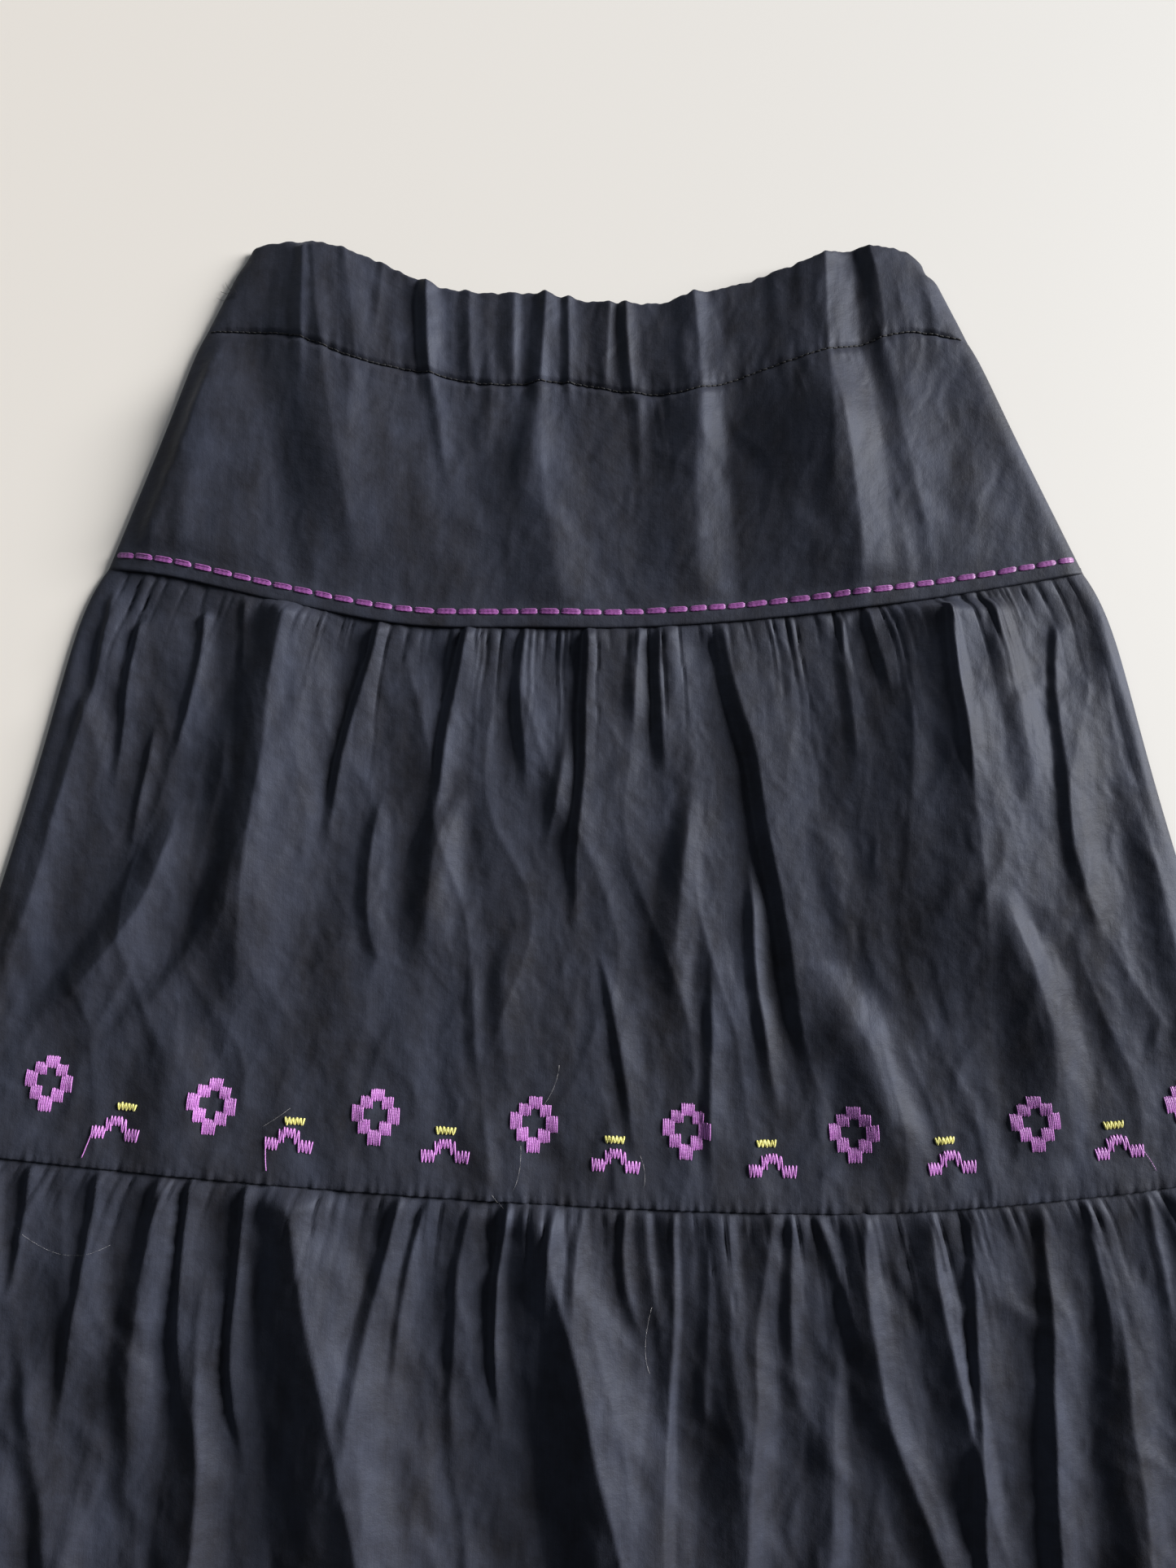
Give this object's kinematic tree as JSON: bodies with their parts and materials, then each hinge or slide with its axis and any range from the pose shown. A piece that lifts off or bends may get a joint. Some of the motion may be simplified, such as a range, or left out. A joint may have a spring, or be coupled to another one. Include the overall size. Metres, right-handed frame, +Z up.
{
  "type": "embroidered skirt",
  "caption": "Skirt laid flat: an elasticated casing, a fitted yoke and gathered tiers, with a row of embroidered flowers and chevrons.",
  "frame": {"origin": "centre of the laid skirt's bounding box, on the surface that it lies on", "axes": "+X to the right of the laid skirt as seen from above, +Y from the hem to the waist, +Z up out of the surface"},
  "size_m": [0.776, 0.7476, 0.0142],
  "materials": {
    "navy_cloth": "soft sheen, dark navy",
    "violet_thread": "silky violet thread"
  },
  "bodies": {
    "root": {"casing_front": "navy_cloth", "casing_back": "navy_cloth", "yoke_front": "navy_cloth", "yoke_back": "navy_cloth", "middle_tier_front": "navy_cloth", "middle_tier_back": "navy_cloth", "bottom_tier_front": "navy_cloth", "bottom_tier_back": "navy_cloth", "flower_1": "violet_thread", "flower_2": "violet_thread", "flower_3": "violet_thread", "flower_4": "violet_thread", "flower_5": "violet_thread", "flower_6": "violet_thread", "flower_7": "violet_thread", "flower_8": "violet_thread", "chevron_1": "violet_thread", "chevron_2": "violet_thread", "chevron_3": "violet_thread", "chevron_4": "violet_thread", "chevron_5": "violet_thread", "chevron_6": "violet_thread", "chevron_7": "violet_thread", "chevron_8": "violet_thread"}
  },
  "joints": []
}
